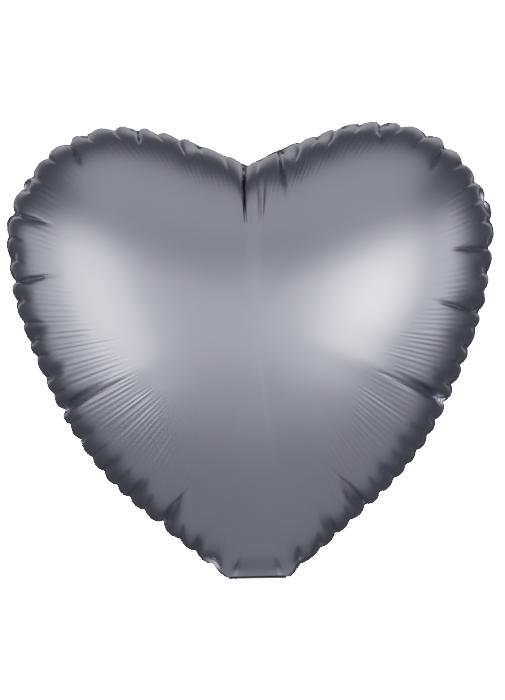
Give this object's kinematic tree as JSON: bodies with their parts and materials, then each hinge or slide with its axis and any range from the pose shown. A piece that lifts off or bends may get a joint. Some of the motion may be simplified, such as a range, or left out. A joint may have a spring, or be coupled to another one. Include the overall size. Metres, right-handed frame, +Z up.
{
  "type": "foil balloon",
  "caption": "Heart-shaped filled foil balloon: front and back films welded round the rim, with a flat self-closing valve in a tail strip that folds up behind.",
  "frame": {"origin": "middle of the fold line, where the tail strip leaves the bottom of the heart", "axes": "+Z up along the heart's middle line, from the fold to the notch; the front film faces -Y; +X to the right seen from the front"},
  "size_m": [0.37, 0.1944, 0.3451],
  "materials": {
    "graphite_foil": "satin",
    "sealant": "satin",
    "valve_ply": "satin",
    "release_ink": "matte"
  },
  "bodies": {
    "balloon": {"front_film": "graphite_foil", "back_film": "graphite_foil", "rim_weld": "sealant", "valve_front_ply": "valve_ply", "valve_back_ply": "valve_ply", "valve_left_weld": "sealant", "valve_right_weld": "sealant"},
    "neck": {"neck_front_film": "graphite_foil", "neck_back_film": "graphite_foil", "neck_left_weld": "sealant", "neck_right_weld": "sealant", "neck_valve_front_ply": "valve_ply", "neck_valve_back_ply": "valve_ply", "neck_valve_left_weld": "sealant", "neck_valve_right_weld": "sealant", "neck_front_cross_bond": "sealant", "neck_back_cross_bond": "sealant", "neck_release_coat": "release_ink"}
  },
  "joints": [
    {"name": "tail_fold", "type": "hinge", "parent": "balloon", "child": "neck", "pos_m": [0, 0, 0], "axis": [-1, 0, 0], "range_deg": [0, 266]}
  ]
}
